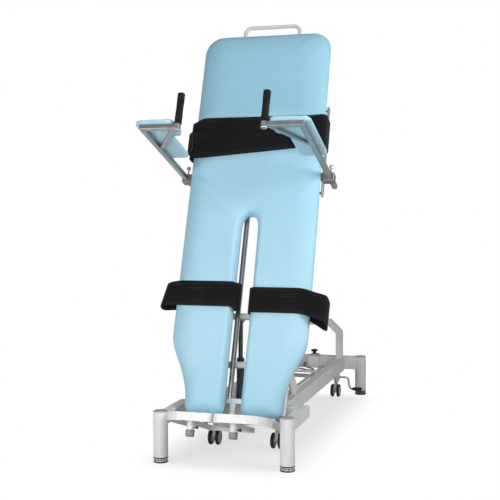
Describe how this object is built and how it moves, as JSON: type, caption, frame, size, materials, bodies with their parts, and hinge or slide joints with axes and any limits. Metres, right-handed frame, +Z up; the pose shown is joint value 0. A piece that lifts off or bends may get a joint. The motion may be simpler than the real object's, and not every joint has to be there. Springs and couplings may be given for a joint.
{
  "type": "electric tilt table",
  "caption": "Padded tilt-up therapy couch with leg slot, body straps, sliding armrests and footplates, raised by an electric actuator on a long low base with castors.",
  "frame": {"origin": "on the floor, at the middle of the whole table as seen from above, couch tipped up as in the picture", "axes": "+Z up, +X to the right of someone facing the padded front, -Y the way the padded front faces"},
  "size_m": [0.8768, 2.164, 2.2228],
  "materials": {
    "light_grey_paint": "satin powder coat",
    "white_paint": "satin powder coat",
    "chrome": "polished",
    "brushed_steel": "brushed",
    "black_rubber": "matte",
    "black_plastic": "matte",
    "dark_grey_plastic": "matte",
    "grey_plastic": "matte",
    "light_blue_upholstery": "soft satin vinyl",
    "plywood": "plain",
    "black_webbing": "woven"
  },
  "bodies": {
    "base": {"front_base_frame": "light_grey_paint", "rear_base_frame": "light_grey_paint", "left_base_beam": "light_grey_paint", "right_base_beam": "light_grey_paint", "left_front_foot": "black_rubber", "right_front_foot": "black_rubber", "left_rear_foot": "black_rubber", "right_rear_foot": "black_rubber", "rest_arch": "light_grey_paint", "rest_pad": "black_rubber", "left_hinge_post": "light_grey_paint", "right_hinge_post": "light_grey_paint", "tie_rod": "light_grey_paint", "rear_buffer": "black_rubber", "actuator_bracket": "white_paint", "control_box": "dark_grey_plastic", "control_cable": "black_plastic"},
    "couch": {"couch_pad": "light_blue_upholstery", "couch_board": "plywood", "left_side_tube": "white_paint", "right_side_tube": "white_paint", "lower_cross_tube": "light_grey_paint", "middle_cross_tube": "light_grey_paint", "head_cross_tube": "light_grey_paint", "footrest_carrier": "white_paint", "spine_tube": "chrome", "head_handle": "light_grey_paint", "left_rail": "brushed_steel", "right_rail": "brushed_steel", "chest_strap": "black_webbing", "left_leg_strap": "black_webbing", "right_leg_strap": "black_webbing"},
    "actuator_body": {"actuator_body": "dark_grey_plastic"},
    "actuator_rod": {"actuator_rod": "brushed_steel"},
    "front_castor_shaft": {"front_castor_shaft": "brushed_steel"},
    "rear_castor_shaft": {"rear_castor_shaft": "brushed_steel", "castor_pedal": "black_rubber"},
    "castor_link_bar": {"castor_link_bar": "light_grey_paint"},
    "left_front_castor": {"left_front_castor_fork": "grey_plastic"},
    "left_front_castor_wheels": {"left_front_castor_wheels": "black_rubber"},
    "left_rear_castor": {"left_rear_castor_fork": "grey_plastic"},
    "left_rear_castor_wheels": {"left_rear_castor_wheels": "black_rubber"},
    "left_footplate": {"left_footplate": "white_paint"},
    "left_footplate_knob": {"left_footplate_knob": "black_plastic"},
    "left_rail_clamp": {"left_rail_clamp": "brushed_steel"},
    "left_clamp_knob": {"left_clamp_knob": "chrome"},
    "left_arm": {"left_arm_frame": "brushed_steel", "left_arm_pad": "light_blue_upholstery", "left_grip": "black_rubber"},
    "right_front_castor": {"right_front_castor_fork": "grey_plastic"},
    "right_front_castor_wheels": {"right_front_castor_wheels": "black_rubber"},
    "right_rear_castor": {"right_rear_castor_fork": "grey_plastic"},
    "right_rear_castor_wheels": {"right_rear_castor_wheels": "black_rubber"},
    "right_footplate": {"right_footplate": "white_paint"},
    "right_footplate_knob": {"right_footplate_knob": "black_plastic"},
    "right_rail_clamp": {"right_rail_clamp": "brushed_steel"},
    "right_clamp_knob": {"right_clamp_knob": "chrome"},
    "right_arm": {"right_arm_frame": "brushed_steel", "right_arm_pad": "light_blue_upholstery", "right_grip": "black_rubber"}
  },
  "joints": [
    {"name": "couch_tilt", "type": "hinge", "parent": "base", "child": "couch", "pos_m": [0, -0.52965, 0.51], "axis": [1, 0, 0], "range_deg": [-69.8, 10.2]},
    {"name": "actuator_swing", "type": "hinge", "parent": "base", "child": "actuator_body", "pos_m": [-0.05, -0.44865, 0.12], "axis": [1, 0, 0], "range_deg": [-12.91, 1.89]},
    {"name": "actuator_stroke", "type": "slide", "parent": "actuator_body", "child": "actuator_rod", "axis": [0, 0.0314, 0.9995], "range_m": [-0.16054, 0.02346]},
    {"name": "castor_pedal_press", "type": "hinge", "parent": "base", "child": "rear_castor_shaft", "pos_m": [0, 0.85135, 0.14], "axis": [-1, 0, 0], "range_deg": [0, 10]},
    {"name": "front_castor_lift", "type": "hinge", "parent": "base", "child": "front_castor_shaft", "pos_m": [0, -0.56765, 0.14], "axis": [-1, 0, 0], "range_deg": [0, 10]},
    {"name": "castor_link_turn", "type": "hinge", "parent": "front_castor_shaft", "child": "castor_link_bar", "pos_m": [0, -0.46765, 0.185], "axis": [-1, 0, 0], "range_deg": [-10, 0]},
    {"name": "left_front_castor_swivel", "type": "hinge", "parent": "front_castor_shaft", "child": "left_front_castor", "pos_m": [-0.165, -0.49765, 0.14], "axis": [0, 0, 1], "continuous": true},
    {"name": "left_front_wheel_roll", "type": "hinge", "parent": "left_front_castor", "child": "left_front_castor_wheels", "pos_m": [-0.165, -0.51965, 0.045], "axis": [1, 0, 0], "continuous": true},
    {"name": "right_front_castor_swivel", "type": "hinge", "parent": "front_castor_shaft", "child": "right_front_castor", "pos_m": [0.165, -0.49765, 0.14], "axis": [0, 0, 1], "continuous": true},
    {"name": "right_front_wheel_roll", "type": "hinge", "parent": "right_front_castor", "child": "right_front_castor_wheels", "pos_m": [0.165, -0.51965, 0.045], "axis": [1, 0, 0], "continuous": true},
    {"name": "left_rear_castor_swivel", "type": "hinge", "parent": "rear_castor_shaft", "child": "left_rear_castor", "pos_m": [-0.18, 0.92135, 0.14], "axis": [0, 0, 1], "continuous": true},
    {"name": "left_rear_wheel_roll", "type": "hinge", "parent": "left_rear_castor", "child": "left_rear_castor_wheels", "pos_m": [-0.18, 0.89935, 0.045], "axis": [1, 0, 0], "continuous": true},
    {"name": "right_rear_castor_swivel", "type": "hinge", "parent": "rear_castor_shaft", "child": "right_rear_castor", "pos_m": [0.18, 0.92135, 0.14], "axis": [0, 0, 1], "continuous": true},
    {"name": "right_rear_wheel_roll", "type": "hinge", "parent": "right_rear_castor", "child": "right_rear_castor_wheels", "pos_m": [0.18, 0.89935, 0.045], "axis": [1, 0, 0], "continuous": true},
    {"name": "left_footplate_height", "type": "slide", "parent": "couch", "child": "left_footplate", "axis": [0, 0.2957, 0.9553], "range_m": [-0.02, 0.01]},
    {"name": "left_footplate_knob_turn", "type": "hinge", "parent": "couch", "child": "left_footplate_knob", "pos_m": [-0.1037, -1.00759, 0.20266], "axis": [1, 0, 0], "range_deg": [0, 360]},
    {"name": "left_armrest_height", "type": "slide", "parent": "couch", "child": "left_rail_clamp", "axis": [0, 0.3453, 0.9385], "range_m": [-0.07, 0.05]},
    {"name": "left_arm_reach", "type": "slide", "parent": "left_rail_clamp", "child": "left_arm", "axis": [0, -0.9385, 0.3453], "range_m": [-0.1, 0.08]},
    {"name": "left_clamp_knob_turn", "type": "hinge", "parent": "left_rail_clamp", "child": "left_clamp_knob", "pos_m": [-0.39, -0.27235, 1.39062], "axis": [0, 0.3453, 0.9385], "range_deg": [0, 360]},
    {"name": "right_footplate_height", "type": "slide", "parent": "couch", "child": "right_footplate", "axis": [0, 0.2957, 0.9553], "range_m": [-0.02, 0.01]},
    {"name": "right_footplate_knob_turn", "type": "hinge", "parent": "couch", "child": "right_footplate_knob", "pos_m": [0.1063, -1.00759, 0.20266], "axis": [1, 0, 0], "range_deg": [0, 360]},
    {"name": "right_armrest_height", "type": "slide", "parent": "couch", "child": "right_rail_clamp", "axis": [0, 0.3453, 0.9385], "range_m": [-0.07, 0.05]},
    {"name": "right_arm_reach", "type": "slide", "parent": "right_rail_clamp", "child": "right_arm", "axis": [0, -0.9385, 0.3453], "range_m": [-0.1, 0.08]},
    {"name": "right_clamp_knob_turn", "type": "hinge", "parent": "right_rail_clamp", "child": "right_clamp_knob", "pos_m": [0.39, -0.27235, 1.39062], "axis": [0, 0.3453, 0.9385], "range_deg": [0, 360]}
  ],
  "couplings": [
    {"joint": "actuator_swing", "follows": "couch_tilt", "ratio": 0.185},
    {"joint": "actuator_stroke", "follows": "couch_tilt", "m_per_rad": 0.13178},
    {"joint": "front_castor_lift", "follows": "castor_pedal_press", "ratio": 1},
    {"joint": "castor_link_turn", "follows": "castor_pedal_press", "ratio": -1}
  ]
}
